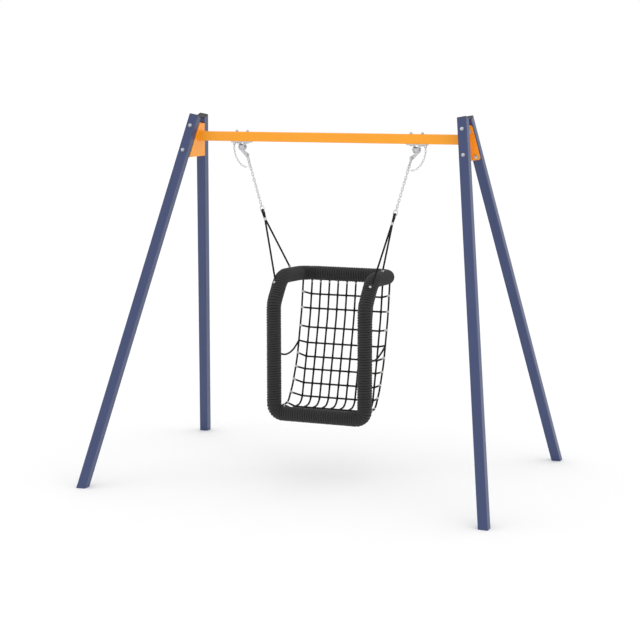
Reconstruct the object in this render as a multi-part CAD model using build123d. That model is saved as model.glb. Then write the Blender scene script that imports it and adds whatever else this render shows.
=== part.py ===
from build123d import *
from math import asin, atan2, cos, hypot, radians, sin, tan
import os

# Playground swing: a steel A-frame with a rope-net bucket seat on two bearing hangers.
# Millimetres. +Z is up, -Y is the front, which the seat's open side faces. The origin is on the
# ground under the middle of the crossbeam. Everything right of X = 0 is built once and mirrored.

# ---------------------------------------------------------------- driving dimensions: frame
leg_size = 60.0
leg_wall = 3.0
leg_corner = 6.0
apex_height = 2286.0
apex_half_span = 894.0
apex_half_gap = 53.0
lean_out = 10.0
leg_splay = 19.9
cap_thickness = 5.0
cap_plug_length = 22.0
cap_plug_clearance = 0.3
beam_size = 60.0
beam_wall = 3.0
beam_drop = 127.5
bracket_top = 43.0
bracket_bottom = 259.0
bracket_plate = 5.0
bracket_inset = 3.0
bracket_depth = 57.0
bracket_corner = 15.0
leg_bolt = 12.0
leg_bolts_from_top = (73.5, 239.5)
bolt_hole_clearance = 0.5
leg_bolt_flats = 18.0
head_height = 7.5
nut_height = 10.0
washer_thickness = 2.5
thread_over = 3.0

# ---------------------------------------------------------------- driving dimensions: hangers
hanger_x = 586.0
plate_inner = 62.0
plate_outer = 70.0
plate_width = 50.0
plate_thickness = 8.0
beam_bolt = 10.0
beam_bolt_half_spacing = 37.0
beam_bolt_flats = 16.0
beam_bolt_head = 6.4
cap_nut_height = 12.0
lug_thickness = 6.0
lug_radius = 20.0
plate_corner = 6.0
pivot_drop = 28.5
pull_angle = 16.77
axle_diameter = 12.0
axle_fit = 0.05
axle_flats = 18.0
axle_head_height = 7.5
axle_nut_height = 8.0
axle_over = 3.0
bush_outer = 20.0
knuckle_width = 24.0
knuckle_radius = 18.0
knuckle_side_gap = 1.0
knuckle_thickness = 14.0
eye_inset = 33.0
eye_drop = 51.0
eye_radius = 13.0
knuckle_neck = 24.0
knuckle_heel = 9.0
eye_shoulder = (6.5, 11.0)
safety_lug_out = 57.0
safety_lug_radius = 9.0
safety_lug_hole = 5.5
safety_lug_drop = 10.0
safety_lug_thickness = 6.0
shackle_wire = 8.0
shackle_gap = 17.0
shackle_length = 44.5
shackle_pin = 10.0
pin_head = 16.0
pin_head_height = 4.5
pin_over = 3.0
pin_clearance = 0.3
link_wire = 6.0
link_pitch = 18.5
link_gap = 8.2
link_slack = 0.2
link_count = 16
joining_wire = 7.0
joining_gap = 20.0
joining_length = 32.0
safety_wire = 4.0
safety_gap = 6.4
safety_slack = 1.6
safety_link_count = 13
safety_ring_radius = 9.0
safety_ring_link = 1
safety_start_drop = 4.0
safety_end_out = 4.0
safety_end_drop = 2.4
safety_leaves = (0.12, 0.0, -1.0)
safety_arrives = (-1.0, -0.1, 0.3)
safety_slackness = (1.25, 0.95)

# ---------------------------------------------------------------- driving dimensions: seat
tube_diameter = 63.5
tube_wall = 3.0
wrap_rope = 16.0
seat_half_width = 307.5
seat_front = -156.0
seat_bottom = 406.0
shoulder_height = 1111.0
arm_front = -25.0
arm_height = 1272.0
rear_bar_y = 345.0
rear_bar_height = 1256.0
bottom_corner_radius = 60.0
kink_radius = 112.0
shoulder_radius = 140.0
rear_corner_radius = 100.0
rope_diameter = 12.0
thimble_height = 1681.0
thimble_bore_clearance = 2.4
thimble_wall = 1.2
thimble_lip = 2.5
thimble_width = 12.0
groove_clearance = 0.1
ferrule_start = 40.0
ferrule_length = 18.0
ferrule_wall = 2.2
rope_pair_gap = 0.3
ferrule_turn = 31.5
sling_bend = 40.0
sling_front_toward = (333.0, -78.0, 1268.0)
sling_rear_toward = (318.0, 143.0, 1311.0)
sling_bury = 26.0
entry_reach = 40.0
collar_stand_off = 5.0
collar_wall = 3.0
collar_length = 9.0
sling_bolt = 10.0
sling_bolt_centre = (-72.0, 1214.0)
sling_bolt_turn = 20.0
sling_bolt_stand_off = 0.3
sling_bolt_head = 17.0
sling_head_height = 5.0
sling_bolt_flats = 16.0
sling_nut_height = 8.0
sling_bolt_over = 3.0

# ---------------------------------------------------------------- driving dimensions: net
upright_spacing = 61.5
upright_side_count = 4
upright_route = ((354.0, 1215.0), (317.0, 985.0), (245.0, 715.0), (159.0, 415.0), (-112.0, 409.0))
upright_radii = (900.0, 900.0, 75.0)
border_x = 301.6
border_route = ((336.0, 1232.0), (300.0, 1000.0), (222.0, 705.0), (140.0, 535.0), (62.0, 436.0),
                (-112.0, 428.0))
border_radii = (700.0, 420.0, 350.0, 70.0)
row_heights = (1116.5, 1023.0, 900.5, 801.0, 712.5, 633.0, 544.5, 461.0)
border_row_heights = (1132.0, 1029.0, 912.0, 815.0, 736.0, 650.0, 571.5, 493.5)
floor_rows = (50.0, -12.0, -66.0)
border_floor_rows = (43.0, -14.0, -72.0)
row_bend = 45.0
side_rope_row = 3
connector_wall = 2.5
connector_length = 14.0
top_ferrule_wall = 1.8
top_ferrule_length = 9.0
top_ferrule_gap = 6.25

# ---------------------------------------------------------------- driving dimensions: side ropes
left_side_route = ((-302.5, 249.0, 811.0), (-303.5, 200.0, 784.0), (-302.0, 130.0, 761.0),
                   (-304.0, 50.0, 753.0), (-303.0, -25.0, 764.0), (-305.0, -75.0, 784.0),
                   (-304.5, -109.0, 808.0))
right_side_route = ((302.5, 251.0, 816.0), (303.5, 205.0, 792.0), (302.0, 139.0, 767.0),
                    (304.5, 62.0, 751.0), (303.0, -20.0, 756.0), (305.0, -72.0, 776.0),
                    (304.5, -109.0, 801.0))

side_bend_share = 0.45
hex_corner = 2 / 3 ** 0.5
os.makedirs("parts", exist_ok=True)


# ---------------------------------------------------------------- helpers
def save(shape, name):
    export_step(shape, f"parts/{name}.step")


def group(shapes):
    """Separate solids that share one node."""
    return Compound(children=[solid for shape in shapes for solid in shape.solids()])


def mirrored(shape):
    return mirror(shape, about=Plane.YZ)


def both_sides(shape):
    return [shape, mirrored(shape)]


def all_corners(shape):
    """A piece of the front right leg, repeated at all four legs."""
    return both_sides(shape) + both_sides(mirror(shape, about=Plane.XZ))


def save_sides(shape, name):
    save(shape, f"right_{name}")
    save(mirrored(shape), f"left_{name}")


def square_tube(size, wall, corner):
    return RectangleRounded(size, size, corner) - RectangleRounded(
        size - 2 * wall, size - 2 * wall, corner - wall)


def round_bar(start, end, radius):
    """A cylinder from one point to another."""
    along = Vector(*end) - Vector(*start)
    return extrude(Plane(start, z_dir=along) * Circle(radius), amount=along.length)


def hexagon(plane, across_flats, height):
    return extrude(plane * RegularPolygon(across_flats / 2 * hex_corner, 6), amount=height)


def swept(path, radius):
    """A round rope, wire or bar along a path."""
    return sweep(Plane(path @ 0, z_dir=path % 0) * Circle(radius), path=path)


def rope(points, radii, diameter=rope_diameter):
    return swept(FilletPolyline(*points, radius=list(radii)), diameter / 2)


def chain_link(plane, wire, gap, inner_length):
    """An oval link in the plane's X-Y, long along its X."""
    bend = (gap + wire) / 2
    straight = inner_length + wire - 2 * bend
    rail = Line((-straight / 2, bend), (straight / 2, bend))
    turn = CenterArc((straight / 2, 0), bend, 90, -180)
    half = swept(Wire(plane.from_local_coords(Wire([rail, turn])).edges()), wire / 2)
    other = half.rotate(Axis(plane.origin, plane.z_dir), 180)
    return half + other


# ---------------------------------------------------------------- A-frame directions, right side
lean_down = Vector(sin(radians(lean_out)), 0, -cos(radians(lean_out)))
lean_side = Vector(cos(radians(lean_out)), 0, sin(radians(lean_out)))
leg_along = lean_down * cos(radians(leg_splay)) + Vector(0, -1, 0) * sin(radians(leg_splay))
apex = Vector(apex_half_span, 0, apex_height)
leg_end = Plane(apex + Vector(0, -apex_half_gap, 0), x_dir=lean_side, z_dir=leg_along)
ground = Plane.XY

# ---------------------------------------------------------------- legs and their caps
leg_length = (apex_height + leg_size) / (cos(radians(lean_out)) * cos(radians(leg_splay)))
leg = extrude(leg_end * square_tube(leg_size, leg_wall, leg_corner), amount=leg_length)
leg = split(leg, bisect_by=ground, keep=Keep.TOP)

face_out = leg_end.y_dir
for from_top in leg_bolts_from_top:
    middle = leg_end.origin + leg_along * from_top
    leg -= round_bar(middle - face_out * leg_size, middle + face_out * leg_size,
                     leg_bolt / 2 + bolt_hole_clearance)
save(leg, "front_right_leg")
save(mirrored(leg), "front_left_leg")
rear_leg = mirror(leg, about=Plane.XZ)
save(rear_leg, "rear_right_leg")
save(mirrored(rear_leg), "rear_left_leg")

cap = extrude(leg_end * RectangleRounded(leg_size, leg_size, leg_corner), amount=-cap_thickness)
plug_size = leg_size - 2 * leg_wall - 2 * cap_plug_clearance
cap += extrude(leg_end * RectangleRounded(plug_size, plug_size, leg_corner - leg_wall),
               amount=cap_plug_length)
save(group(all_corners(cap)), "leg_top_caps")

# ---------------------------------------------------------------- brackets between the legs
side_near = leg_size / 2 + bracket_inset
half_top, half_bottom = (
    apex_half_gap - leg_size / 2 / cos(radians(leg_splay)) + depth * tan(radians(leg_splay))
    for depth in (bracket_top, bracket_bottom))
web_back = Plane(apex - lean_side * side_near, x_dir=(0, 1, 0), z_dir=lean_side)


def bracket_outline(inset):
    """The trapezoid between the two legs, its sloping sides moved in by inset."""
    step = inset / cos(radians(leg_splay))
    return make_face(Polyline((half_top - step, -bracket_top), (half_bottom - step, -bracket_bottom),
                              (step - half_bottom, -bracket_bottom), (step - half_top, -bracket_top),
                              close=True))


bracket = extrude(web_back * bracket_outline(0), amount=bracket_depth)
hollow = extrude(web_back.offset(bracket_plate) * bracket_outline(bracket_plate), amount=bracket_depth)
bracket -= hollow
from_side = Plane(apex - lean_side * side_near, x_dir=lean_side, z_dir=(0, -1, 0))
flange_shape = Location((0, -(bracket_top + bracket_bottom) / 2)) * RectangleRounded(
    2 * bracket_depth, bracket_bottom - bracket_top, bracket_corner)
bracket &= extrude(from_side * flange_shape, amount=half_bottom, both=True)

# ---------------------------------------------------------------- bolts, washers and nuts of the brackets
bolts, washers, nuts = [], [], []
for from_top in leg_bolts_from_top:
    middle = leg_end.origin + leg_along * from_top
    outside = Plane(middle + face_out * leg_size / 2, z_dir=face_out)
    inside = Plane(middle - face_out * (leg_size / 2 + bracket_plate), z_dir=-face_out)
    shank_end = inside.origin + inside.z_dir * (washer_thickness + nut_height + thread_over)
    hole = round_bar(outside.origin, shank_end, leg_bolt / 2 + bolt_hole_clearance)
    for opposite in (hole, mirror(hole, about=Plane.XZ)):
        bracket -= opposite
    bolt = round_bar(outside.origin, shank_end, leg_bolt / 2)
    bolt += hexagon(outside.offset(washer_thickness), leg_bolt_flats, head_height)
    bolt += extrude(outside * Circle(leg_bolt / 2), amount=washer_thickness)
    bolts += all_corners(bolt)
    ring = Circle(leg_bolt) - Circle(leg_bolt / 2)
    washers += all_corners(extrude(outside * ring, amount=washer_thickness))
    washers += all_corners(extrude(inside * ring, amount=washer_thickness))
    nut = hexagon(inside.offset(washer_thickness), leg_bolt_flats, nut_height)
    nut -= round_bar(outside.origin, shank_end, leg_bolt / 2)
    nuts += all_corners(nut)
save_sides(bracket, "beam_bracket")
save(group(bolts), "bracket_bolts")
save(group(washers), "bracket_washers")
save(group(nuts), "bracket_nuts")

# ---------------------------------------------------------------- crossbeam
beam_height = apex_height - beam_drop
beam_start = Plane((0, 0, beam_height), x_dir=(0, 1, 0), z_dir=(1, 0, 0))
half_beam = extrude(beam_start * square_tube(beam_size, beam_wall, leg_corner), amount=2 * apex_half_span)
half_beam = split(half_beam, bisect_by=web_back, keep=Keep.BOTTOM)
beam_top = beam_height + beam_size / 2
beam_under = beam_height - beam_size / 2
plate_under = beam_under - plate_thickness
for side in (-1, 1):
    x = hanger_x + side * beam_bolt_half_spacing
    half_beam -= round_bar((x, 0, beam_under - 1), (x, 0, beam_top + 1), beam_bolt / 2 + bolt_hole_clearance)
save(half_beam + mirrored(half_beam), "crossbeam")

# ---------------------------------------------------------------- hanger plates, bolts and axles
pivot = Vector(hanger_x, 0, plate_under - pivot_drop)
plate_middle = hanger_x + (plate_outer - plate_inner) / 2
plate = extrude(Plane((plate_middle, 0, beam_under), z_dir=(0, 0, -1)) * RectangleRounded(
    plate_inner + plate_outer, plate_width, plate_corner), amount=plate_thickness)
lug_shape = Rectangle(2 * lug_radius, pivot_drop, align=(Align.CENTER, Align.MIN)) + Circle(lug_radius)
knuckle_room = knuckle_width / 2 + knuckle_side_gap
for side in (-1, 1):
    lug_face = Plane(pivot + Vector(side * knuckle_room, 0, 0), x_dir=(0, 1, 0), z_dir=(1, 0, 0))
    plate += extrude(lug_face * lug_shape, amount=side * lug_thickness)
lug_outer = knuckle_room + lug_thickness
plate -= round_bar(pivot - Vector(lug_outer, 0, 0), pivot + Vector(lug_outer, 0, 0),
                   axle_diameter / 2 + axle_fit)
safety_hole = Vector(hanger_x + safety_lug_out, 0, plate_under - safety_lug_drop)
safety_face = Plane(safety_hole + Vector(0, safety_lug_thickness / 2, 0), x_dir=(1, 0, 0), z_dir=(0, -1, 0))
safety_shape = Rectangle(2 * safety_lug_radius, safety_lug_drop, align=(Align.CENTER, Align.MIN))
safety_shape += Circle(safety_lug_radius)
plate += extrude(safety_face * (safety_shape - Circle(safety_lug_hole)), amount=safety_lug_thickness)

beam_bolts, beam_washers, cap_nuts = [], [], []
for side in (-1, 1):
    x = hanger_x + side * beam_bolt_half_spacing
    below = Plane((x, 0, plate_under), z_dir=(0, 0, -1))
    above = Plane((x, 0, beam_top))
    bolt_end = (x, 0, beam_top + washer_thickness + cap_nut_height / 2)
    plate -= round_bar((x, 0, plate_under), (x, 0, beam_under), beam_bolt / 2 + bolt_hole_clearance)
    bolt = round_bar((x, 0, plate_under), bolt_end, beam_bolt / 2)
    bolt += hexagon(below, beam_bolt_flats, beam_bolt_head)
    beam_bolts += both_sides(bolt)
    beam_washers += both_sides(extrude(above * (Circle(beam_bolt) - Circle(beam_bolt / 2)),
                                       amount=washer_thickness))
    dome = hexagon(above.offset(washer_thickness), beam_bolt_flats, cap_nut_height / 2)
    dome_base = above.offset(washer_thickness + cap_nut_height / 2)
    dome += split(dome_base.location * Sphere(cap_nut_height / 2), bisect_by=dome_base, keep=Keep.TOP)
    cap_nuts += both_sides(dome - bolt)
save_sides(plate, "hanger_plate")
save(group(beam_bolts), "hanger_bolts")
save(group(beam_washers), "hanger_washers")
save(group(cap_nuts), "hanger_cap_nuts")

axle_head = Plane(pivot + Vector(lug_outer, 0, 0), z_dir=(1, 0, 0))
axle_tail = Plane(pivot - Vector(lug_outer, 0, 0), z_dir=(-1, 0, 0))
axle_end = axle_tail.origin - Vector(axle_nut_height + axle_over, 0, 0)
axle = round_bar(axle_end, axle_head.origin, axle_diameter / 2) + hexagon(axle_head, axle_flats, axle_head_height)
save_sides(axle, "pivot_axle")
lock_nut = hexagon(axle_tail, axle_flats, axle_nut_height) - axle
save(group(both_sides(lock_nut)), "pivot_lock_nuts")

# ---------------------------------------------------------------- bush and swing knuckle
bush_reach = Vector(knuckle_width / 2 + knuckle_side_gap / 2, 0, 0)
bush = round_bar(pivot - bush_reach, pivot + bush_reach, bush_outer / 2)
bush -= round_bar(pivot - bush_reach, pivot + bush_reach, axle_diameter / 2 + axle_fit)
save_sides(bush, "pivot_bush")

eye = pivot + Vector(-eye_inset, 0, -eye_drop)
barrel_reach = Vector(knuckle_width / 2, 0, 0)
from_front = Plane((0, knuckle_thickness / 2, 0), x_dir=(1, 0, 0), z_dir=(0, -1, 0))
arm_outline = Polyline(
    (pivot.X - knuckle_width / 2, pivot.Z), (pivot.X - knuckle_width / 2, pivot.Z - knuckle_neck),
    (eye.X - eye_shoulder[0], eye.Z + eye_shoulder[1]), (eye.X + knuckle_heel, eye.Z - knuckle_heel),
    (pivot.X + knuckle_width / 2, pivot.Z - knuckle_neck), (pivot.X + knuckle_width / 2, pivot.Z), close=True)
knuckle = extrude(from_front * make_face(arm_outline), amount=knuckle_thickness)
knuckle += round_bar((eye.X, -knuckle_thickness / 2, eye.Z), (eye.X, knuckle_thickness / 2, eye.Z), eye_radius)
knuckle += round_bar(pivot - barrel_reach, pivot + barrel_reach, knuckle_radius)
knuckle -= round_bar(pivot - bush_reach, pivot + bush_reach, bush_outer / 2)
knuckle -= round_bar((eye.X, -knuckle_thickness, eye.Z), (eye.X, knuckle_thickness, eye.Z),
                     shackle_pin / 2 + pin_clearance)
save_sides(knuckle, "swing_knuckle")

# ---------------------------------------------------------------- the line of pull, from the eye to the thimble
joining_top = shackle_length + link_count * link_pitch
apex_along = joining_top + joining_length + joining_wire / 2
pull = Vector(-sin(radians(pull_angle)), 0, -cos(radians(pull_angle)))
pull_side = Vector(cos(radians(pull_angle)), 0, -sin(radians(pull_angle)))
thimble_centre = eye + pull * apex_along


def on_pull(along, out=0.0, forward=0.0):
    """A point at a distance down the line of pull, moved outwards and to the front."""
    return eye + pull * along + pull_side * out + Vector(0, -forward, 0)


bow_half = (shackle_gap + shackle_wire) / 2
bow_turn = shackle_length + shackle_wire / 2 - bow_half
bow_plane = Plane(eye, x_dir=pull, z_dir=pull_side)
bow_path = Wire([Line((0, bow_half), (bow_turn, bow_half)), CenterArc((bow_turn, 0), bow_half, 90, -180),
                 Line((bow_turn, -bow_half), (0, -bow_half))])
shackle = swept(Wire(bow_plane.from_local_coords(bow_path).edges()), shackle_wire / 2)
ear_radius = shackle_pin / 2 + shackle_wire / 2
for side in (-1, 1):
    inner = eye + Vector(0, side * shackle_gap / 2, 0)
    outer = eye + Vector(0, side * (shackle_gap / 2 + shackle_wire), 0)
    shackle += round_bar(inner, outer, ear_radius)
pin_reach = Vector(0, shackle_gap / 2 + shackle_wire + pin_over, 0)
shackle -= round_bar(eye - pin_reach, eye + pin_reach, shackle_pin / 2)
save_sides(shackle, "shackle")
pin_face = Plane(eye - Vector(0, shackle_gap / 2 + shackle_wire, 0), z_dir=(0, -1, 0))
pin = round_bar(eye - pin_reach, eye + pin_reach, shackle_pin / 2)
pin += extrude(pin_face * Circle(pin_head / 2), amount=pin_head_height)
save_sides(pin, "shackle_pin")

links = []
for number in range(link_count):
    middle = on_pull(shackle_length + (number + 0.5) * link_pitch)
    across = Vector(0, 1, 0) if number % 2 == 0 else pull_side
    links.append(chain_link(Plane(middle, x_dir=pull, z_dir=across), link_wire, link_gap,
                            link_pitch + link_slack))
save_sides(group(links), "chain")
joining = chain_link(Plane(on_pull(joining_top + joining_length / 2), x_dir=pull, z_dir=(0, 1, 0)),
                     joining_wire, joining_gap, joining_length)
save_sides(joining, "joining_link")

# ---------------------------------------------------------------- safety chain
ring_along = shackle_length + (safety_ring_link + 0.5) * link_pitch
ring_centre = on_pull(ring_along, forward=safety_ring_radius)
ring_plane = Plane(ring_centre, x_dir=pull_side, z_dir=pull)
safety_ring = ring_plane.location * Torus(safety_ring_radius, safety_wire / 2)
ring_out = on_pull(ring_along, out=safety_ring_radius, forward=safety_ring_radius)
safety_path = Spline(safety_hole - Vector(0, 0, safety_start_drop),
                     ring_out + Vector(safety_end_out, 0, -safety_end_drop),
                     tangents=(safety_leaves, safety_arrives), tangent_scalars=safety_slackness)
safety_pitch = safety_path.length / safety_link_count
safety_links = [safety_ring]
for number in range(safety_link_count):
    start, end = (safety_path.position_at(safety_pitch * n, position_mode=PositionMode.LENGTH)
                  for n in (number, number + 1))
    along = (end - start).normalized()
    across = Vector(0, 1, 0).cross(along) if number % 2 == 0 else Vector(0, 1, 0)
    safety_links.append(chain_link(Plane((start + end) / 2, x_dir=along, z_dir=across), safety_wire,
                                   safety_gap, safety_pitch + safety_slack))
save_sides(group(safety_links), "safety_chain")

# ---------------------------------------------------------------- seat frame tube and its winding
seat_rise = thimble_centre.Z - thimble_height


def hung(*points):
    """Points of a seat whose thimbles are at their named height, moved up or down with the thimbles."""
    return [(*point[:-1], point[-1] + seat_rise) for point in points]


loop_points = hung((0, seat_front, seat_bottom), (seat_half_width, seat_front, seat_bottom),
                   (seat_half_width, seat_front, shoulder_height), (seat_half_width, arm_front, arm_height),
                   (seat_half_width, rear_bar_y, rear_bar_height), (0, rear_bar_y, rear_bar_height))
loop_radii = [bottom_corner_radius, kink_radius, shoulder_radius, rear_corner_radius]
loop = FilletPolyline(*loop_points, radius=loop_radii)
tube_radius = tube_diameter / 2
wrap_radius = tube_radius + wrap_rope


def sleeve(path, outer, inner):
    return swept(path, outer) - swept(path, inner)


def from_middle(point, distance):
    """The point at a distance from the tube's middle line, on the side where the given point is."""
    _, middle, given = loop.distance_to_with_closest_points(Vector(*point))
    return tuple(middle + (given - middle).normalized() * distance)


half_loop = sleeve(loop, tube_radius, tube_radius - tube_wall)
seat_tube = half_loop + mirrored(half_loop)

sections = loop.edges()
bottom_edge, bottom_turn, leg_edge, kink_turn, slant_edge, shoulder_turn, arm_edge, rear_turn, rear_edge = sections
bottom_half = sleeve(Wire([bottom_edge]), wrap_radius, tube_radius)
rear_half = sleeve(Wire([rear_edge]), wrap_radius, tube_radius)
bottom_wrap = bottom_half + mirrored(bottom_half)
rear_wrap = rear_half + mirrored(rear_half)
corner_wrap = sleeve(Wire([bottom_turn]), wrap_radius, tube_radius)
leg_wrap = sleeve(Wire([leg_edge]), wrap_radius, tube_radius)
shoulder_wrap = sleeve(Wire([kink_turn, slant_edge, shoulder_turn]), wrap_radius, tube_radius)
arm_wrap = sleeve(Wire([arm_edge]), wrap_radius, tube_radius)
rear_corner_wrap = sleeve(Wire([rear_turn]), wrap_radius, tube_radius)

# ---------------------------------------------------------------- slings, thimbles, ferrules and collars
rope_radius = rope_diameter / 2
thimble_bore = joining_wire / 2 + thimble_bore_clearance
rope_loop = thimble_bore + thimble_wall + rope_radius
rope_pair = rope_radius + rope_pair_gap / 2
ferrule_end = ferrule_start + ferrule_length
# The rope leaves the thimble at a tangent that meets the pair of ropes where the ferrule starts.
leave_angle = asin(rope_loop / hypot(ferrule_start, rope_pair)) - atan2(rope_pair, ferrule_start)
loop_corner = rope_loop * (1 + sin(leave_angle)) / cos(leave_angle)


sling_front, sling_rear = (from_middle(point, wrap_radius)
                           for point in hung(sling_front_toward, sling_rear_toward))


def buried(surface, before):
    """The rope's end, which runs on straight inside the winding and the tube."""
    along = (Vector(*surface) - before).normalized()
    return Vector(*surface) + along * sling_bury


low_front = on_pull(apex_along + ferrule_end, forward=rope_pair)
low_rear = on_pull(apex_along + ferrule_end, forward=-rope_pair)
sling_points = (buried(sling_front, low_front), low_front,
                on_pull(apex_along + ferrule_start, forward=rope_pair),
                on_pull(apex_along - rope_loop, forward=loop_corner),
                on_pull(apex_along - rope_loop, forward=-loop_corner),
                on_pull(apex_along + ferrule_start, forward=-rope_pair),
                low_rear, buried(sling_rear, low_rear))
loop_turn = rope_loop - groove_clearance
sling = rope(sling_points, (sling_bend, ferrule_turn, loop_turn, loop_turn, ferrule_turn, sling_bend))
save_sides(sling, "sling_rope")

thimble_section = Rectangle(thimble_wall + thimble_lip, thimble_width)
thimble_section = Pos(thimble_bore + (thimble_wall + thimble_lip) / 2, 0) * thimble_section
thimble_section -= Pos(rope_loop, 0) * Circle(rope_radius + groove_clearance)
thimble = revolve(Plane(thimble_centre, x_dir=(0, 1, 0), z_dir=pull) * thimble_section,
                  Axis(thimble_centre, pull_side))
save_sides(thimble, "thimble")

ferrule_plane = Plane(on_pull(apex_along + ferrule_start), x_dir=(0, 1, 0), z_dir=pull)
ferrule_shape = SlotOverall(2 * (rope_pair + rope_radius + ferrule_wall), rope_diameter + 2 * ferrule_wall)
ferrule = extrude(ferrule_plane * ferrule_shape, amount=ferrule_length)
for side in (-1, 1):
    ferrule -= round_bar(on_pull(apex_along + ferrule_start, forward=side * rope_pair),
                         on_pull(apex_along + ferrule_end, forward=side * rope_pair), rope_radius)
save(group(both_sides(ferrule)), "sling_ferrules")

collar_along = (low_rear - Vector(*sling_rear)).normalized()
collar_start = Vector(*sling_rear) + collar_along * collar_stand_off
collar_end = collar_start + collar_along * collar_length
collar = round_bar(collar_start, collar_end, rope_radius + collar_wall)
collar -= round_bar(collar_start, collar_end, rope_radius)
save(group(both_sides(collar)), "sling_entry_collars")

# The bolt goes square through the slanting tube and turned a little outwards.
slant = Vector(0, arm_front - seat_front, arm_height - shoulder_height).normalized()
slant_front = Vector(0, -slant.Z, slant.Y)
bolt_out = slant_front * cos(radians(sling_bolt_turn)) + Vector(sin(radians(sling_bolt_turn)), 0, 0)
bolt_middle = Vector(seat_half_width, *hung(sling_bolt_centre)[0])
bolt_reach = bolt_out * (wrap_radius + sling_bolt_stand_off)
head_face = Plane(bolt_middle + bolt_reach, z_dir=bolt_out)
nut_face = Plane(bolt_middle - bolt_reach, z_dir=-bolt_out)
bolt_tail = nut_face.origin + nut_face.z_dir * (sling_nut_height + sling_bolt_over)
shank = round_bar(head_face.origin, bolt_tail, sling_bolt / 2)
sling_head = extrude(head_face * Circle(sling_bolt_head / 2), amount=sling_head_height)
save(group(both_sides(shank + sling_head)), "sling_bolts")
sling_nut = hexagon(nut_face, sling_bolt_flats, sling_nut_height) - shank
save(group(both_sides(sling_nut)), "sling_bolt_nuts")

# ---------------------------------------------------------------- holes for slings and bolts
def entry(surface, buried_end, toward):
    """The hole that a sling rope's end goes in by."""
    outside = Vector(*surface) + (toward - Vector(*surface)).normalized() * entry_reach
    return round_bar(buried_end, outside, rope_radius)


front_entry = entry(sling_front, sling_points[0], low_front)
rear_entry = entry(sling_rear, sling_points[-1], low_rear)
bolt_hole = round_bar(head_face.origin, bolt_tail, sling_bolt / 2 + bolt_hole_clearance)
for cutter in both_sides(front_entry) + both_sides(rear_entry) + both_sides(bolt_hole):
    seat_tube -= cutter
for cutter in (front_entry, bolt_hole):
    shoulder_wrap -= cutter
arm_wrap -= rear_entry
save(seat_tube, "seat_frame_tube")
save(bottom_wrap, "bottom_bar_wrap")
save(rear_wrap, "rear_bar_wrap")
save(group(both_sides(corner_wrap)), "bottom_corner_wraps")
save_sides(leg_wrap, "leg_wrap")
save(group(both_sides(shoulder_wrap)), "shoulder_wraps")
save_sides(arm_wrap, "arm_wrap")
save(group(both_sides(rear_corner_wrap)), "rear_corner_wraps")

# ---------------------------------------------------------------- net
in_winding = tube_radius + wrap_rope / 2


def net_path(x, route, radii):
    """A net rope's path, with both its ends in the middle of the winding."""
    points = hung(*((x, y, z) for y, z in route))
    points = [from_middle(points[0], in_winding), *points[1:-1], from_middle(points[-1], in_winding)]
    return FilletPolyline(*points, radius=list(radii))


upright_path = net_path(0, upright_route, upright_radii)
border_path = net_path(border_x, border_route, border_radii)
upright = swept(upright_path, rope_radius)
upright_xs = [upright_spacing * n for n in range(-upright_side_count, upright_side_count + 1)]
save(group([Pos(x, 0, 0) * upright for x in upright_xs]), "net_upright_ropes")
save(group(both_sides(swept(border_path, rope_radius))), "net_border_ropes")


def crossing(path, plane):
    """Where a rope's line goes through a level or upright plane."""
    return path.intersect(plane)[0].center()


row_planes = [Plane((0, 0, z + seat_rise)) for z in row_heights]
row_planes += [Plane((0, y, 0), z_dir=(0, 1, 0)) for y in floor_rows]
border_planes = [Plane((0, 0, z + seat_rise)) for z in border_row_heights]
border_planes += [Plane((0, y, 0), z_dir=(0, 1, 0)) for y in border_floor_rows]
last_x = upright_xs[-1]
rows, connectors = [], []
for number, (row_plane, border_plane) in enumerate(zip(row_planes, border_planes)):
    inner = crossing(upright_path, row_plane)
    edge = crossing(border_path, border_plane)
    rows.append(rope([(-border_x, edge.Y, edge.Z), (-last_x, inner.Y, inner.Z), (last_x, inner.Y, inner.Z),
                      (border_x, edge.Y, edge.Z)], (row_bend, row_bend)))
    if number == side_rope_row:
        continue
    along = border_path.tangent_at(border_path.param_at_point(edge))
    toward = (Vector(last_x, inner.Y, inner.Z) - edge).normalized()
    half = along * (connector_length / 2)
    fitting = round_bar(edge - half, edge + half, rope_radius + connector_wall)
    fitting += round_bar(edge, edge + toward * connector_length, rope_radius + connector_wall)
    connectors += both_sides(fitting)
save(group(rows), "net_cross_ropes")
save(group(connectors), "net_connectors")

top_ferrule_height = rear_bar_height + seat_rise - wrap_radius - top_ferrule_gap
ferrule_top = crossing(upright_path, Plane((0, 0, top_ferrule_height)))
ferrule_low = crossing(upright_path, Plane((0, 0, top_ferrule_height - top_ferrule_length)))
top_ferrule = round_bar(ferrule_low, ferrule_top, rope_radius + top_ferrule_wall)
top_ferrule -= round_bar(ferrule_low, ferrule_top, rope_radius)
save(group([Pos(x, 0, 0) * top_ferrule for x in upright_xs]), "net_top_ferrules")


# ---------------------------------------------------------------- slack side ropes
def bend_radii(points):
    """The largest arc that each pair of runs leaves room for."""
    radii = []
    for before, here, after in zip(points, points[1:], points[2:]):
        run_in = Vector(*here) - Vector(*before)
        run_out = Vector(*after) - Vector(*here)
        shorter = min(run_in.length, run_out.length)
        radii.append(side_bend_share * shorter / tan(radians(run_in.get_angle(run_out) / 2)))
    return radii


for name, points in (("left_side_rope", left_side_route), ("right_side_rope", right_side_route)):
    route = hung(*points)
    radii = bend_radii(route)
    side_rope = rope(route, radii)
    length = FilletPolyline(*route, radius=radii).length
    print(name, "length", round(length), "radii", [round(r) for r in radii],
          "volume / (section x length)", round(side_rope.volume / (Circle(rope_radius).area * length), 4))
    save(side_rope, name)
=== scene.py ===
import math

import bmesh
import bpy
import numpy as np
from mathutils import Matrix, Vector


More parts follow.
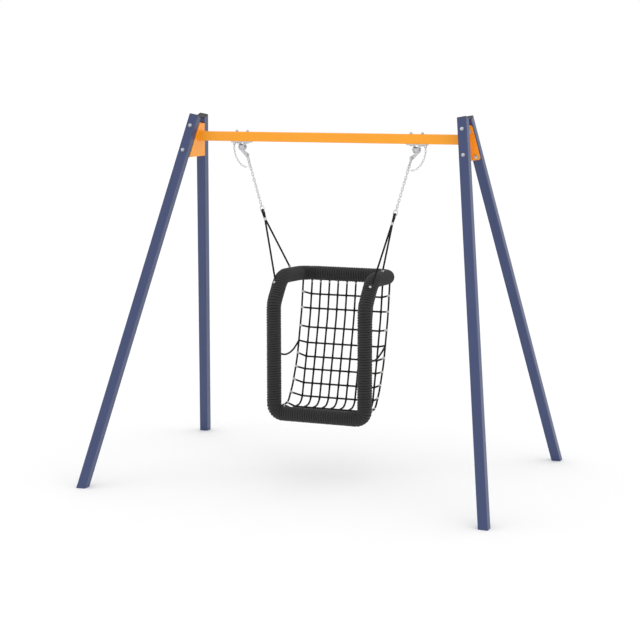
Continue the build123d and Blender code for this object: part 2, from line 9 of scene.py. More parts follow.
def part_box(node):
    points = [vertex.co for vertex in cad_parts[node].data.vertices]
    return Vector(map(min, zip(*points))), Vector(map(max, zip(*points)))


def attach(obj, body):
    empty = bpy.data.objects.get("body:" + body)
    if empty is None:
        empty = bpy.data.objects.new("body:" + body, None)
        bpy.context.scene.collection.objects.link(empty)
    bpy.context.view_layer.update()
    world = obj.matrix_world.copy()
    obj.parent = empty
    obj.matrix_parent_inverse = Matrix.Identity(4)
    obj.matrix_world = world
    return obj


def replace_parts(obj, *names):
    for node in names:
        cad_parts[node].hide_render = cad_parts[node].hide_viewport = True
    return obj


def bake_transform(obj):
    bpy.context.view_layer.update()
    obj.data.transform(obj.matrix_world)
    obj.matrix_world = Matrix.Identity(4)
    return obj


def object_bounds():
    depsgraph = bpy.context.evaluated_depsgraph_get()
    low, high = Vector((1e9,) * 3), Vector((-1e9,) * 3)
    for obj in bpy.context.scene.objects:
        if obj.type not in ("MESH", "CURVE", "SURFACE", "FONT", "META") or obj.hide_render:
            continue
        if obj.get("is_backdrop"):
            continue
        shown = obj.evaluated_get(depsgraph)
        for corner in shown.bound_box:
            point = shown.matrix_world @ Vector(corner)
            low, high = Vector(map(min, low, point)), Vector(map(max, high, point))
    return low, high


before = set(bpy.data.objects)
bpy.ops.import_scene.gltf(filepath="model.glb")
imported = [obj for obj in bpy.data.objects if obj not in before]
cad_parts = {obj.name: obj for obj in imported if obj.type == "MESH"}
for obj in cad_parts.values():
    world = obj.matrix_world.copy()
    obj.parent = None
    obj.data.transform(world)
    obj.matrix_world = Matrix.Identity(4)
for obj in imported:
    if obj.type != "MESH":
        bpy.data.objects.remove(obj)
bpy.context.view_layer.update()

# ---------------------------------------------------------------- camera
# Someone stands ten metres off to the right of the swing's front, and looks down on it a little
# from the height of the crossbeam.
camera_data = bpy.data.cameras.new("camera")
camera_place = (3.7186, -9.6280, 2.5760)
camera_turn, camera_looks_down, camera_roll = 21.394, 8.671, -0.035
camera_data.sensor_width = 36.0
camera_data.lens = 92.087
camera_data.clip_end = 60.0
camera = bpy.data.objects.new("camera", camera_data)
bpy.context.scene.collection.objects.link(camera)
camera.matrix_world = (
    Matrix.Translation(camera_place)
    @ Matrix.Rotation(math.radians(camera_turn), 4, "Z")
    @ Matrix.Rotation(math.radians(90 - camera_looks_down), 4, "X")
    @ Matrix.Rotation(math.radians(camera_roll), 4, "Z"))
bpy.context.scene.camera = camera

# ---------------------------------------------------------------- slack side ropes
# Two loose lengths of the net's own rope, one each side, spliced into the net's border and tied
# off inside the front leg. Each hangs in a shallow curve under its own weight.
rope_diameter = 0.012
left_rope_route = (
    (-0.3025, 0.249, 0.811), (-0.3035, 0.200, 0.784), (-0.302, 0.130, 0.761), (-0.304, 0.050, 0.753),
    (-0.303, -0.025, 0.764), (-0.305, -0.075, 0.784), (-0.3045, -0.109, 0.808))
right_rope_route = (
    (0.3025, 0.251, 0.816), (0.3035, 0.205, 0.792), (0.302, 0.139, 0.767), (0.3045, 0.062, 0.751),
    (0.303, -0.020, 0.756), (0.305, -0.072, 0.776), (0.3045, -0.109, 0.801))
rope_strands = 6
points_per_strand = 4
rope_lay = 0.078
rings_per_lay = 20
strand_groove = 0.16


def hanging_line(route):
    """The smooth line that a free rope takes past its route's points."""
    curve = bpy.data.curves.new("route", "CURVE")
    curve.dimensions = "3D"
    spline = curve.splines.new("NURBS")
    spline.points.add(len(route) - 1)
    for point, place in zip(spline.points, route):
        point.co = (*place, 1.0)
    spline.order_u = 3
    spline.use_endpoint_u = True
    spline.resolution_u = 24
    holder = bpy.data.objects.new("route", curve)
    bpy.context.scene.collection.objects.link(holder)
    bpy.context.view_layer.update()
    traced = bpy.data.meshes.new_from_object(holder)
    points = np.array([v.co for v in traced.vertices])
    bpy.data.objects.remove(holder)
    bpy.data.curves.remove(curve)
    bpy.data.meshes.remove(traced)
    return points


def distances(points):
    """How far along a line each of its points is."""
    return np.concatenate(([0.0], np.cumsum(np.linalg.norm(np.diff(points, axis=0), axis=1))))


def respaced(points, step):
    """The same line with evenly spaced points."""
    along = distances(points)
    wanted = np.linspace(0.0, along[-1], max(2, round(along[-1] / step) + 1))
    return np.stack([np.interp(wanted, along, points[:, axis]) for axis in range(3)], axis=1)


def carried(points):
    """Along a line: its direction, and two directions square to it that turn as little as they can."""
    heading = np.gradient(points, axis=0)
    heading /= np.linalg.norm(heading, axis=1)[:, None]
    across = np.cross(heading[0], (0.0, 0.0, 1.0) if abs(heading[0][2]) < 0.9 else (1.0, 0.0, 0.0))
    sides = []
    for direction in heading:
        across = across - direction * (across @ direction)
        across /= np.linalg.norm(across)
        sides.append(across)
    sides = np.array(sides)
    return heading, sides, np.cross(heading, sides)


def joined(parts):
    """One list of vertices and faces, and of surface coordinates, from several."""
    vertices, faces, coordinates, offset = [], [], [], 0
    for part_vertices, part_faces, part_coordinates in parts:
        vertices.append(part_vertices)
        faces += [[offset + corner for corner in face] for face in part_faces]
        coordinates += list(part_coordinates)
        offset += len(part_vertices)
    return np.concatenate(vertices), faces, coordinates


def new_piece(name, shape, material, body, sharp=None):
    """A mesh object with its finish, which rides on a body of the swing."""
    vertices, faces, coordinates = shape
    mesh = bpy.data.meshes.new(name)
    mesh.from_pydata([tuple(v) for v in vertices], [], faces)
    if len(coordinates):
        layer = mesh.uv_layers.new(name="surface")
        layer.data.foreach_set("uv", np.array(coordinates, np.float32).ravel())
    turned_out = bmesh.new()
    turned_out.from_mesh(mesh)
    bmesh.ops.recalc_face_normals(turned_out, faces=turned_out.faces)
    turned_out.to_mesh(mesh)
    turned_out.free()
    mesh.materials.append(material)
    mesh.polygons.foreach_set("use_smooth", [True] * len(mesh.polygons))
    if sharp is not None:
        mesh.set_sharp_from_angle(angle=math.radians(sharp))
    piece = bpy.data.objects.new(name, mesh)
    bpy.context.scene.collection.objects.link(piece)
    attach(piece, body)
    return piece


def laid_rope(line, diameter=rope_diameter, parted=(), part_swell=0.17, part_reach=0.011):
    """The surface of a six-strand rope along a line. Where another rope is put through its strands,
    at the distances in parted, they stand a little apart."""
    points = respaced(line, rope_lay / rings_per_lay)
    along = distances(points)
    _, sides, ups = carried(points)
    count = rope_strands * points_per_strand
    turn = np.arange(count) * 2 * math.pi / count
    dip = np.abs(np.cos(np.arange(count) * math.pi / points_per_strand)) ** 1.5
    radius = diameter / 2 * (1 + strand_groove / 3 - strand_groove * dip)
    swell = np.ones(len(points))
    for place in parted:
        swell += part_swell * np.exp(-(((along - place) / part_reach) ** 2))
    angles = turn[None, :] + (along * 2 * math.pi / rope_lay)[:, None]
    reach = radius[None, :] * swell[:, None]
    vertices = (points[:, None, :] + sides[:, None, :] * (reach * np.cos(angles))[..., None]
                + ups[:, None, :] * (reach * np.sin(angles))[..., None]).reshape(-1, 3)
    faces, coordinates = [], []
    for ring in range(len(points) - 1):
        for step in range(count):
            after = (step + 1) % count
            faces.append([ring * count + step, ring * count + after,
                          (ring + 1) * count + after, (ring + 1) * count + step])
            u, v = step / points_per_strand, (step + 1) / points_per_strand
            coordinates += [(u, along[ring] / rope_lay), (v, along[ring] / rope_lay),
                            (v, along[ring + 1] / rope_lay), (u, along[ring + 1] / rope_lay)]
    last = (len(points) - 1) * count
    for end in (list(range(count))[::-1], list(range(last, last + count))):
        faces.append(end)
        coordinates += [(0.0, 0.0)] * count
    return vertices, faces, coordinates


def add_node(material, kind, settings=None, **values):
    """A shader node with its settings and its unlinked inputs."""
    made = material.node_tree.nodes.new("ShaderNode" + kind)
    for key, value in (settings or {}).items():
        setattr(made, key, value)
    for key, value in values.items():
        made.inputs[key.replace("_", " ")].default_value = value
    return made


def linked(material, source, output, target, socket):
    material.node_tree.links.new(source.outputs[output], target.inputs[socket])


def new_finish(name, **values):
    """A material with a plain shader, whose evenly spread numbers are set on its own sockets."""
    material = bpy.data.materials.new(name)
    material.use_nodes = True
    shader = material.node_tree.nodes["Principled BSDF"]
    for key, value in values.items():
        shader.inputs[key.replace("_", " ")].default_value = value
    return material, shader


def tone(material, shader, pattern, output, stops, socket="Base Color"):
    """Colours a shader's socket from a pattern through a ramp of colours or of greys."""
    ramp = add_node(material, "ValToRGB")
    while len(ramp.color_ramp.elements) < len(stops):
        ramp.color_ramp.elements.new(0.5)
    for element, (place, colour) in zip(ramp.color_ramp.elements, stops):
        element.position = place
        element.color = (*colour, 1.0) if isinstance(colour, tuple) else (colour, colour, colour, 1.0)
    linked(material, pattern, output, ramp, "Fac")
    linked(material, ramp, "Color", shader, socket)
    return ramp


def relief(material, shader, pattern, output, strength, distance):
    """Raises a pattern on the surface."""
    bump = add_node(material, "Bump", Strength=strength, Distance=distance)
    linked(material, pattern, output, bump, "Height")
    linked(material, bump, "Normal", shader, "Normal")


def own_coordinates(material):
    """Coordinates in metres that go with the piece."""
    return add_node(material, "TexCoord")


def yarn_finish(name, dark, light, yarns, slant):
    """Laid black rope: fine yarns slant across each strand, and dust lightens it here and there."""
    material, shader = new_finish(name, Sheen_Weight=0.04, Sheen_Roughness=0.5, Specular_IOR_Level=0.2)
    where = own_coordinates(material)
    shift = add_node(material, "Mapping")
    shift.inputs["Scale"].default_value = (yarns, slant, 1.0)
    linked(material, where, "UV", shift, "Vector")
    threads = add_node(material, "TexWave", {"bands_direction": "DIAGONAL"}, Scale=1.0, Distortion=1.2,
                       Detail=2.0, Detail_Scale=1.5)
    linked(material, shift, "Vector", threads, "Vector")
    dust = add_node(material, "TexNoise", Scale=38.0, Detail=5.0, Roughness=0.6)
    linked(material, where, "Object", dust, "Vector")
    tone(material, shader, dust, "Fac", ((0.35, dark), (0.68, light)))
    tone(material, shader, dust, "Fac", ((0.3, 0.62), (0.7, 0.8)), "Roughness")
    relief(material, shader, threads, "Fac", 0.55, 0.0006)
    return material


rope_finish = yarn_finish("laid black rope", (0.004, 0.004, 0.0045), (0.009, 0.009, 0.010), 3.0, 14.0)
for side, route, length in (("left", left_rope_route, 0.380), ("right", right_rope_route, 0.383)):
    line = hanging_line(route)
    side_rope = new_piece(f"{side}_slack_rope", laid_rope(line), rope_finish, "seat")
    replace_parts(side_rope, f"{side}_side_rope")

# ---------------------------------------------------------------- legs
# Four 60 mm square steel tubes in hard blue enamel. They are cut level at the ground, splay to
# the front and the back, and each pair leans out at its end of the crossbeam.


def dress(material, *names):
    """Gives CAD nodes a finish."""
    for name in names:
        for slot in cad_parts[name].material_slots:
            slot.material = material


def enamel_finish(name, low, high, worn):
    """Sprayed enamel: an orange-peel skin, slow shifts in tone, and fine worn specks."""
    material, shader = new_finish(name, Specular_IOR_Level=0.5, Coat_Weight=0.05, Coat_Roughness=0.3)
    where = own_coordinates(material)
    drift = add_node(material, "TexNoise", Scale=2.6, Detail=4.0, Roughness=0.55)
    linked(material, where, "Object", drift, "Vector")
    ramp = tone(material, shader, drift, "Fac", ((0.3, low), (0.7, high)))
    specks = add_node(material, "TexNoise", Scale=160.0, Detail=3.0, Roughness=0.7)
    linked(material, where, "Object", specks, "Vector")
    chips = add_node(material, "ValToRGB")
    chips.color_ramp.elements[0].position = 0.70
    chips.color_ramp.elements[1].position = 0.74
    linked(material, specks, "Fac", chips, "Fac")
    mixed = add_node(material, "MixRGB", Color2=(*worn, 1.0))
    linked(material, ramp, "Color", mixed, "Color1")
    linked(material, chips, "Color", mixed, "Fac")
    linked(material, mixed, "Color", shader, "Base Color")
    tone(material, shader, drift, "Fac", ((0.3, 0.36), (0.7, 0.48)), "Roughness")
    peel = add_node(material, "TexNoise", Scale=420.0, Detail=2.0)
    linked(material, where, "Object", peel, "Vector")
    relief(material, shader, peel, "Fac", 0.12, 0.0006)
    return material


blue_enamel = enamel_finish("blue enamel", (0.031, 0.049, 0.136), (0.038, 0.058, 0.153),
                            (0.070, 0.097, 0.196))
dress(blue_enamel, "front_left_leg", "rear_left_leg", "front_right_leg", "rear_right_leg")

# ---------------------------------------------------------------- leg caps
# Moulded black plastic plugs, pushed into the legs' square-cut tops. Each shows a five-millimetre
# lid with rounded edges and a shallow square dish.
leg_size, leg_corner = 0.060, 0.006
apex_half_span, apex_height, apex_half_gap = 0.894, 2.286, 0.053
lean, splay = math.radians(10.0), math.radians(19.9)
lean_down = Vector((math.sin(lean), 0.0, -math.cos(lean)))
lean_side = Vector((math.cos(lean), 0.0, math.sin(lean)))
leg_along = lean_down * math.cos(splay) + Vector((0.0, -1.0, 0.0)) * math.sin(splay)
leg_front = leg_along.cross(lean_side)
leg_top = Vector((apex_half_span, -apex_half_gap, apex_height))
corner_steps = 5


def rounded_square(size, corner, steps=corner_steps):
    """Points round a square with rounded corners, as distances across and up."""
    inner = size / 2 - corner
    angles = [quarter * math.pi / 2 + step * math.pi / 2 / steps
              for quarter in range(4) for step in range(steps + 1)]
    signs = [(1, 1), (-1, 1), (-1, -1), (1, -1)]
    return [(signs[n // (steps + 1)][0] * inner + corner * math.cos(a),
             signs[n // (steps + 1)][1] * inner + corner * math.sin(a)) for n, a in enumerate(angles)]


def stacked(rings, hollow=False):
    """A skin over rings of equally many points. Its ends are filled in, or a hollow one's last ring
    joins its first."""
    count, rows = len(rings[0]), len(rings)
    vertices = np.array([tuple(p) for ring in rings for p in ring])
    faces = [[row * count + n, row * count + (n + 1) % count,
              (row + 1) % rows * count + (n + 1) % count, (row + 1) % rows * count + n]
             for row in range(rows if hollow else rows - 1) for n in range(count)]
    if not hollow:
        faces += [list(range(count))[::-1], list(range((rows - 1) * count, rows * count))]
    return vertices, faces, []


def flipped(shape, x=1, y=1):
    """A shape's mirror image in the swing's middle planes."""
    vertices, faces, coordinates = shape
    if x * y < 0:
        faces = [face[::-1] for face in faces]
    return vertices * (x, y, 1), faces, coordinates


def both_ends(shapes):
    """Shapes of the right side, and their mirror images on the left."""
    return [flipped(shape, x) for x in (1, -1) for shape in shapes]


def four_legs(shapes):
    """Shapes of the front right leg, and their mirror images at all four legs."""
    return [flipped(shape, x, y) for x in (1, -1) for y in (1, -1) for shape in shapes]


cap_profile = ((0.0, 0.0), (0.0, 0.0035), (0.0005, 0.0045), (0.0015, 0.005), (0.006, 0.005),
               (0.0075, 0.0042), (0.026, 0.0042))
cap_rings = []
for inset, height in cap_profile:
    outline = rounded_square(leg_size - 2 * inset, max(leg_corner - inset, 0.0012))
    cap_rings.append([leg_top - leg_along * height + lean_side * a - leg_front * b for a, b in outline])

cap_plastic, cap_shader = new_finish("black moulded plastic", Specular_IOR_Level=0.3)
cap_place = own_coordinates(cap_plastic)
cap_grain = add_node(cap_plastic, "TexNoise", Scale=300.0, Detail=4.0)
linked(cap_plastic, cap_place, "Object", cap_grain, "Vector")
tone(cap_plastic, cap_shader, cap_grain, "Fac",
     ((0.3, (0.026, 0.027, 0.028)), (0.7, (0.040, 0.041, 0.043))))
tone(cap_plastic, cap_shader, cap_grain, "Fac", ((0.3, 0.45), (0.7, 0.62)), "Roughness")
relief(cap_plastic, cap_shader, cap_grain, "Fac", 0.25, 0.0004)
caps = new_piece("leg_caps", joined(four_legs([stacked(cap_rings)])), cap_plastic, "root",
                 sharp=38)
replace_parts(caps, "leg_top_caps")

# ---------------------------------------------------------------- crossbeam and its brackets
# A 60 mm square steel tube in orange enamel, with a folded channel welded to each end. The channel's
# flanges lie against the inner sides of the legs.
orange_enamel = enamel_finish("orange enamel", (0.92, 0.340, 0.004), (0.97, 0.370, 0.008),
                              (0.98, 0.45, 0.05))
dress(orange_enamel, "crossbeam", "left_beam_bracket", "right_beam_bracket")

beam_size, beam_height, bracket_inset = 0.060, 2.1585, 0.003
bead_radius, bead_points, bead_ripple, bead_ripple_length = 0.0032, 8, 0.0004, 0.0026


def weld_bead(line):
    """A rippled bead of weld round a closed line."""
    points = respaced(np.concatenate((line, line[:1])), bead_ripple_length / 3)
    heading, sides, ups = carried(points)
    along = distances(points)
    swell = bead_radius + bead_ripple * np.sin(along * 2 * math.pi / bead_ripple_length)
    turn = np.arange(bead_points) * 2 * math.pi / bead_points
    lift = (np.cos(turn)[None, :, None] * sides[:, None, :]
            + np.sin(turn)[None, :, None] * ups[:, None, :])
    rings = points[:, None, :] + lift * swell[:, None, None]
    return stacked(list(rings))


web_face = Vector((apex_half_span, 0.0, apex_height)) - lean_side * (leg_size / 2 + bracket_inset)
bead_line = []
for across, up in rounded_square(beam_size + 0.002, leg_corner + 0.001):
    height = beam_height + up
    bead_line.append((web_face.x - (height - web_face.z) * math.tan(lean), across, height))
new_piece("beam_welds", joined(both_ends([weld_bead(np.array(bead_line))])), orange_enamel, "root")

# ---------------------------------------------------------------- bolts through the legs
# M12 hexagon bolts, zinc plated, with a washer under each head and each nut. Two go through every
# leg into the flange of the bracket.
leg_bolts_down = (0.0735, 0.2395)
bolt_shank, washer_height, washer_radius = 0.012, 0.0025, 0.012
bolt_flats, head_height, nut_height, thread_over, flange = 0.018, 0.0075, 0.010, 0.003, 0.005
around, thread_around = 48, 24


def turned(profile, origin, axis, points=around, six_sided=None, hollow=False):
    """A body turned round an axis from radii and heights. With six_sided it is a hexagon's flats that
    cut the radii back, as on a nut or a bolt's head. A hollow one is open through its middle."""
    axis = Vector(axis).normalized()
    side = axis.orthogonal().normalized()
    up = axis.cross(side)
    rings = []
    for radius, height in profile:
        ring = []
        for n in range(points):
            angle = n * 2 * math.pi / points
            reach = radius
            if six_sided:
                in_flat = (angle + math.pi / 6) % (math.pi / 3) - math.pi / 6
                reach = min(radius, six_sided / 2 / math.cos(in_flat))
            spoke = side * math.cos(angle) + up * math.sin(angle)
            ring.append(Vector(origin) + axis * height + spoke * reach)
        rings.append(ring)
    return stacked(rings, hollow)


def hexagon_profile(flats, height, chamfer=0.0012):
    """Radii and heights of a hexagon with its corners turned off at both faces."""
    corner = flats / 3 ** 0.5
    return ((flats * 0.47, 0.0), (flats / 2, 0.0002), (corner + 0.0001, chamfer),
            (corner + 0.0001, height - chamfer), (flats / 2, height - 0.0002), (flats * 0.46, height))


def washer_profile(inner, outer, height):
    edge = height * 0.2
    return ((inner, 0.0), (outer - edge, 0.0), (outer, edge), (outer, height - edge), (outer - edge, height),
            (inner, height))


def threaded_profile(radius, start, end, pitch=0.0015):
    """Radii and heights of a screw's end, with its thread as a row of grooves."""
    rows = [(radius * 0.86, start)]
    place = start
    while place + pitch < end - 0.0006:
        rows += [(radius * 0.9, place + pitch * 0.1), (radius, place + pitch * 0.5),
                 (radius * 0.9, place + pitch * 0.9)]
        place += pitch
    return rows + [(radius * 0.94, end - 0.0006), (radius * 0.8, end)]


def plated_finish(name, dark, light, rough, metal=1.0, grain=90.0):
    """Zinc on steel: a cloudy grey skin, brighter where it is rubbed."""
    material, shader = new_finish(name, Metallic=metal, Specular_IOR_Level=0.5)
    where = own_coordinates(material)
    cloud = add_node(material, "TexNoise", Scale=grain, Detail=5.0, Roughness=0.62)
    linked(material, where, "Object", cloud, "Vector")
    tone(material, shader, cloud, "Fac", ((0.3, dark), (0.7, light)))
    tone(material, shader, cloud, "Fac", ((0.3, rough - 0.1), (0.7, rough + 0.1)), "Roughness")
    fine = add_node(material, "TexNoise", Scale=900.0, Detail=2.0)
    linked(material, where, "Object", fine, "Vector")
    relief(material, shader, fine, "Fac", 0.12, 0.0003)
    return material


zinc = plated_finish("bright zinc plate", (0.46, 0.47, 0.50), (0.66, 0.67, 0.70), 0.38)
leg_bolt_shapes, leg_washer_shapes, leg_nut_shapes = [], [], []
for down in leg_bolts_down:
    middle = leg_top + leg_along * down
    outside = middle + leg_front * (leg_size / 2)
    inside = middle - leg_front * (leg_size / 2 + flange)
    washer = washer_profile(bolt_shank / 2, washer_radius, washer_height)
    leg_washer_shapes += [turned(washer, outside, leg_front, hollow=True),
                          turned(washer, inside, -leg_front, hollow=True)]
    leg_bolt_shapes.append(turned(hexagon_profile(bolt_flats, head_height),
                                  outside + leg_front * washer_height, leg_front, six_sided=bolt_flats))
    shank_end = washer_height + nut_height + thread_over
    leg_bolt_shapes.append(turned(threaded_profile(bolt_shank / 2, washer_height, shank_end),
                                  inside, -leg_front, points=thread_around))
    leg_nut_shapes.append(turned(hexagon_profile(bolt_flats, nut_height),
                                 inside - leg_front * washer_height, -leg_front, six_sided=bolt_flats))
for name, shapes, node in (("leg_bolts", leg_bolt_shapes, "bracket_bolts"),
                           ("leg_bolt_washers", leg_washer_shapes, "bracket_washers"),
                           ("leg_bolt_nuts", leg_nut_shapes, "bracket_nuts")):
    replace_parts(new_piece(name, joined(four_legs(shapes)), zinc, "root", sharp=32), node)

# ---------------------------------------------------------------- hanger plates, their bolts and pivots
# Under the beam at each side: a thick steel plate on two bolts with domed nuts on top, two lugs
# that hold the pivot, and one more lug for the safety chain.
hanger_x, beam_bolt_half_spacing, beam_bolt, beam_bolt_flats = 0.586, 0.037, 0.010, 0.016
beam_bolt_head, cap_nut_height, plate_thickness = 0.0064, 0.012, 0.008
beam_top, plate_under = beam_height + beam_size / 2, beam_height - beam_size / 2 - plate_thickness
hanger_zinc = plated_finish("dull zinc plate", (0.50, 0.50, 0.515), (0.68, 0.68, 0.70), 0.46, metal=0.8)
dress(hanger_zinc, "left_hanger_plate", "right_hanger_plate")
dress(zinc, "left_pivot_axle", "right_pivot_axle", "pivot_lock_nuts")

beam_bolt_shapes, beam_washer_shapes, cap_nut_shapes = [], [], []
for side in (-1, 1):
    x = hanger_x + side * beam_bolt_half_spacing
    beam_bolt_shapes.append(turned(hexagon_profile(beam_bolt_flats, beam_bolt_head), (x, 0, plate_under),
                                   (0, 0, -1), six_sided=beam_bolt_flats))
    beam_washer_shapes.append(turned(washer_profile(beam_bolt / 2, beam_bolt, washer_height), (x, 0, beam_top),
                                     (0, 0, 1), hollow=True))
    dome = cap_nut_height / 2
    cap_nut_shapes.append(turned(hexagon_profile(beam_bolt_flats, dome), (x, 0, beam_top + washer_height),
                                 (0, 0, 1), six_sided=beam_bolt_flats))
    rise = [step * math.pi / 16 for step in range(8)]
    bowl = [(dome * math.cos(angle), dome + dome * math.sin(angle)) for angle in rise]
    cap_nut_shapes.append(turned(bowl, (x, 0, beam_top + washer_height), (0, 0, 1), points=32))
for name, shapes, node in (("beam_bolts", beam_bolt_shapes, "hanger_bolts"),
                           ("beam_bolt_washers", beam_washer_shapes, "hanger_washers"),
                           ("domed_nuts", cap_nut_shapes, "hanger_cap_nuts")):
    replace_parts(new_piece(name, joined(both_ends(shapes)), zinc, "root", sharp=32), node)

# ---------------------------------------------------------------- pivots, shackles and chains
# Each side swings on a nylon bush round a steel axle. A forged knuckle reaches in from it to a bow
# shackle, and short-link galvanised chain runs down to a wider link at the seat's rope.
nylon, nylon_shader = new_finish("black nylon", Specular_IOR_Level=0.4)
nylon_grain = add_node(nylon, "TexNoise", Scale=240.0, Detail=3.0)
linked(nylon, own_coordinates(nylon), "Object", nylon_grain, "Vector")
tone(nylon, nylon_shader, nylon_grain, "Fac",
     ((0.3, (0.012, 0.012, 0.013)), (0.7, (0.022, 0.022, 0.023))))
tone(nylon, nylon_shader, nylon_grain, "Fac", ((0.3, 0.4), (0.7, 0.55)), "Roughness")
relief(nylon, nylon_shader, nylon_grain, "Fac", 0.15, 0.0003)
galvanised = plated_finish("galvanised chain", (0.60, 0.61, 0.62), (0.82, 0.83, 0.84), 0.42, metal=0.8,
                           grain=140.0)
for side in ("left", "right"):
    dress(nylon, f"{side}_pivot_bush", f"{side}_thimble")
    dress(hanger_zinc, f"{side}_swing_knuckle", f"{side}_shackle", f"{side}_shackle_pin")
    dress(galvanised, f"{side}_chain", f"{side}_joining_link")

# ---------------------------------------------------------------- safety chains
# A slack length of small galvanised chain at each side, from a lug on the fixed plate to a ring in
# the hanging chain.
for side, body in (("left", "left_hanger"), ("right", "right_hanger")):
    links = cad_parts[f"{side}_safety_chain"].data.copy()
    links.name = f"{side}_safety_links"
    links.transform(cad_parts[f"{side}_safety_chain"].matrix_world)
    links.materials.clear()
    links.materials.append(galvanised)
    slack_chain = bpy.data.objects.new(f"{side}_safety_links", links)
    bpy.context.scene.collection.objects.link(slack_chain)
    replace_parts(slack_chain, f"{side}_safety_chain")
    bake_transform(slack_chain)

# ---------------------------------------------------------------- seat loop
# One closed loop of bent steel tube, wound from end to end with 16 mm dark grey braided rope. The
# turns lie side by side, and on the bends they fan out and draw together.
seat_half_width, seat_front, seat_bottom = 0.3075, -0.156, 0.406
kink_height, arm_front, arm_height = 1.111, -0.025, 1.272
rear_bar_y, rear_bar_height = 0.345, 1.256
tube_radius, winding_rope = 0.03175, 0.016
winding_pitch, bend_squeeze = 0.0163, 0.020
winding_points, bend_smoothing = 44, 9
drift_waves = ((9.1, 0.3), (23.7, 1.9), (41.3, 4.2))
ridge_places = (0.0, 0.05, 0.16, 0.32, 0.5, 0.68, 0.84, 0.95)
pitch_drift, radius_drift = 0.03, 0.0003
line_step = 0.004


def bent_line(corners, radii, step=line_step):
    """A line of straight runs with a round bend at each inner corner."""
    corners = [np.array(c, float) for c in corners]
    pieces, start = [], corners[0]
    for before, here, after, radius in zip(corners, corners[1:], corners[2:], radii):
        arriving, leaving = here - before, after - here
        arriving /= np.linalg.norm(arriving)
        leaving /= np.linalg.norm(leaving)
        angle = math.acos(np.clip(arriving @ leaving, -1, 1))
        reach = radius * math.tan(angle / 2)
        inward = leaving - arriving
        centre = here + inward / np.linalg.norm(inward) * radius / math.cos(angle / 2)
        first, spoke = here - arriving * reach, here - arriving * reach - centre
        count = max(2, round(np.linalg.norm(first - start) / step))
        pieces += [start + (first - start) * n / count for n in range(count)]
        count = max(3, round(radius * angle / step))
        pieces += [centre + spoke * math.cos(angle * n / count)
                   + arriving * radius * math.sin(angle * n / count) for n in range(count)]
        start = here + leaving * reach
    count = max(2, round(np.linalg.norm(corners[-1] - start) / step))
    pieces += [start + (corners[-1] - start) * n / count for n in range(count + 1)]
    return np.array(pieces)


half_loop = bent_line(
    ((0, seat_front, seat_bottom), (seat_half_width, seat_front, seat_bottom),
     (seat_half_width, seat_front, kink_height), (seat_half_width, arm_front, arm_height),
     (seat_half_width, rear_bar_y, rear_bar_height), (0, rear_bar_y, rear_bar_height)),
    (0.060, 0.112, 0.140, 0.100), step=0.003)
loop = np.concatenate((half_loop[:-1], (half_loop * (-1, 1, 1))[::-1][:-1]))


def winding_surface():
    """The rope's ridges round the loop, each row of points following one turn of the rope."""
    closed = np.concatenate((loop, loop[:1]))
    along = distances(closed)
    heading = np.roll(loop, -1, axis=0) - np.roll(loop, 1, axis=0)
    heading /= np.linalg.norm(heading, axis=1)[:, None]
    bending = np.linalg.norm(np.roll(heading, -1, axis=0) - np.roll(heading, 1, axis=0), axis=1)
    bending /= np.linalg.norm(np.roll(loop, -1, axis=0) - np.roll(loop, 1, axis=0), axis=1)
    window = 2 * bend_smoothing + 1
    bending = np.convolve(np.concatenate((bending[-bend_smoothing:], bending, bending[:bend_smoothing])),
                          np.ones(window) / window, "valid")
    pitch = winding_pitch / (1 + bend_squeeze * bending)
    drift = sum(np.sin(along[:-1] * rate + shift) for rate, shift in drift_waves)
    per_metre = (1 + pitch_drift * drift) / pitch
    turns = np.concatenate(([0.0], np.cumsum(np.diff(along) * per_metre)))
    total = round(turns[-1])
    turns *= total / turns[-1]
    inward = np.cross(heading, (1.0, 0.0, 0.0))
    for n in range(len(loop)):
        if np.linalg.norm(inward[n]) < 0.3:
            inward[n] = np.cross(heading[n], (0.0, 1.0, 0.0))
    _, sides, ups = carried(closed)
    spin = math.atan2(sides[-1] @ ups[0], sides[-1] @ sides[0])
    undo = -spin * along / along[-1]
    sides, ups = (sides * np.cos(undo)[:, None] + ups * np.sin(undo)[:, None],
                  ups * np.cos(undo)[:, None] - sides * np.sin(undo)[:, None])
    rows = total * len(ridge_places)
    place = (np.array([turn + share for turn in range(total) for share in ridge_places])[:, None]
             + np.arange(winding_points)[None, :] / winding_points)
    where = np.interp(place % total, turns, along)
    angle = np.arange(winding_points)[None, :] * 2 * math.pi / winding_points
    share = np.tile(np.array(ridge_places), total)
    ridge = np.sqrt(np.maximum(0.0, 1 - (2 * share - 1) ** 2))
    unevenness = radius_drift * np.sin(np.repeat(np.arange(total), len(ridge_places)) * 2.4)
    reach = (tube_radius + winding_rope / 2 * (1 + ridge) - radius_drift + unevenness)[:, None]
    at = [np.interp(where, along, closed[:, axis]) for axis in range(3)]
    side = [np.interp(where, along, sides[:, axis]) for axis in range(3)]
    up = [np.interp(where, along, ups[:, axis]) for axis in range(3)]
    vertices = np.stack([at[axis] + reach * (side[axis] * np.cos(angle) + up[axis] * np.sin(angle))
                         for axis in range(3)], axis=2).reshape(-1, 3)
    faces, coordinates = [], []
    for row in range(rows):
        turn, rise = divmod(row, len(ridge_places))
        low, high = ridge_places[rise], (ridge_places + (1.0,))[rise + 1]
        for n in range(winding_points):
            wraps = n + 1 == winding_points
            corners = [(row, n), (row + 1, n)]
            corners += [(row + 1 + len(ridge_places), 0), (row + len(ridge_places), 0)] if wraps else [
                (row + 1, n + 1), (row, n + 1)]
            faces.append([r % rows * winding_points + c for r, c in corners])
            u = (turn + n / winding_points) % 1.0
            v = u + 1 / winding_points
            coordinates += [(u, low), (u, high), (v, high), (v, low)]
    return vertices, faces, coordinates


